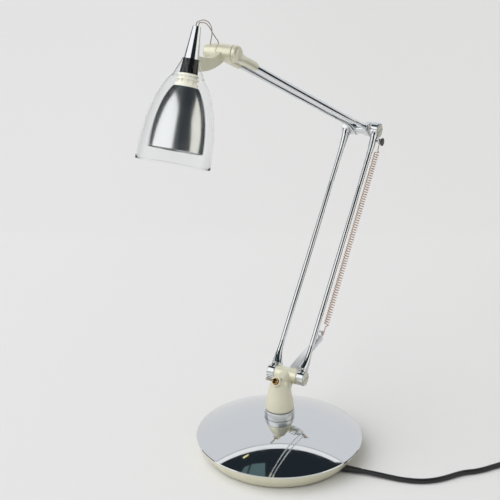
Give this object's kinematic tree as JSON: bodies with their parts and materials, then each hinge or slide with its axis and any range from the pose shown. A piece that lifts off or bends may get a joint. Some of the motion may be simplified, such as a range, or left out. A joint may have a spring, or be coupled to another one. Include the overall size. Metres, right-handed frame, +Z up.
{
  "type": "architect lamp",
  "caption": "Jointed desk lamp: chrome dome base, swivelling stem, two arms of paired rods with a balance spring, and a small head with a reflector in a clear bell.",
  "frame": {"origin": "Middle of the base's resting face, on the stem's swivel axis.", "axes": "+Z is up, the arms move in the YZ plane at rest with the head towards -Y, and the arm joints turn about X."},
  "size_m": [0.4746, 0.4991, 0.5486],
  "materials": {
    "chrome_plate": "bright plated",
    "satin_champagne": "satin, pale champagne",
    "plain_steel": "turned",
    "black_plastic": "moulded",
    "black_rubber": "smooth",
    "dark_felt": "felt",
    "cast_iron": "as cast",
    "iron_core": "varnished",
    "white_nylon": "moulded",
    "brass": "turned",
    "coppered_wire": "drawn wire, brown",
    "clear_plastic": "clear, polished",
    "cream_ceramic": "unglazed",
    "polished_aluminium": "polished",
    "bulb_glass": "clear",
    "bare_lead": "drawn wire",
    "nickel_pins": "plated"
  },
  "bodies": {
    "base": {"base_pad": "dark_felt", "base_tray": "satin_champagne", "base_cover": "chrome_plate", "base_weight": "cast_iron", "transformer": "iron_core", "swivel_tube": "plain_steel", "swivel_nut": "plain_steel", "spacer_sleeve": "plain_steel", "swivel_collar": "chrome_plate", "swivel_washer": "white_nylon", "swivel_top_nut": "plain_steel", "cord_grommet": "black_rubber", "power_cord": "black_rubber", "cord_coil": "black_rubber", "cord_tie": "black_plastic", "plug": "black_plastic", "plug_pins": "nickel_pins"},
    "stem": {"stem_body": "satin_champagne", "switch_body": "black_plastic", "switch_bush": "brass", "spring_lever": "chrome_plate"},
    "toggle": {"toggle_lever": "chrome_plate"},
    "lower_arm": {"lower_rod_left": "chrome_plate", "lower_rod_right": "chrome_plate", "pivot_axle": "plain_steel", "pivot_washers": "white_nylon", "pivot_cap_left": "chrome_plate", "pivot_cap_right": "chrome_plate", "elbow_shaft": "plain_steel", "elbow_cap_left": "satin_champagne", "elbow_cap_right": "satin_champagne", "spring_post": "black_plastic", "balance_spring": "coppered_wire"},
    "upper_arm": {"upper_rod_left": "chrome_plate", "upper_rod_right": "chrome_plate", "elbow_spacer": "satin_champagne", "elbow_washers": "white_nylon", "knuckle_ear_left": "satin_champagne", "knuckle_ear_right": "satin_champagne", "knuckle_knob": "satin_champagne", "knuckle_pin": "plain_steel"},
    "head": {"head_arm": "satin_champagne", "head_cone": "chrome_plate", "cone_screw": "plain_steel", "wire_bush": "black_plastic", "neck_collar": "clear_plastic", "diffuser_bell": "clear_plastic", "lamp_holder": "cream_ceramic", "reflector": "polished_aluminium", "bulb": "bulb_glass", "head_wire_outer": "bare_lead", "head_wire_inner": "bare_lead"}
  },
  "joints": [
    {"name": "stem_swivel", "type": "hinge", "parent": "base", "child": "stem", "pos_m": [0, 0, 0.09223], "axis": [0, 0, 1], "range_deg": [-170, 170]},
    {"name": "switch_toggle", "type": "hinge", "parent": "stem", "child": "toggle", "pos_m": [0, -0.01029, 0.09721], "axis": [0, 0.5592, 0.829], "range_deg": [0, 36]},
    {"name": "lower_arm_tilt", "type": "hinge", "parent": "stem", "child": "lower_arm", "pos_m": [0, 0.0206, 0.09223], "axis": [1, 0, 0], "range_deg": [0, 45], "deforming": ["balance_spring"]},
    {"name": "upper_arm_tilt", "type": "hinge", "parent": "lower_arm", "child": "upper_arm", "pos_m": [0, 0.22746, 0.34767], "axis": [1, 0, 0], "range_deg": [-60, 20]},
    {"name": "head_tilt", "type": "hinge", "parent": "upper_arm", "child": "head", "pos_m": [0, -0.13198, 0.51148], "axis": [1, 0, 0], "range_deg": [-60, 60], "deforming": ["head_wire_outer", "head_wire_inner"]}
  ]
}
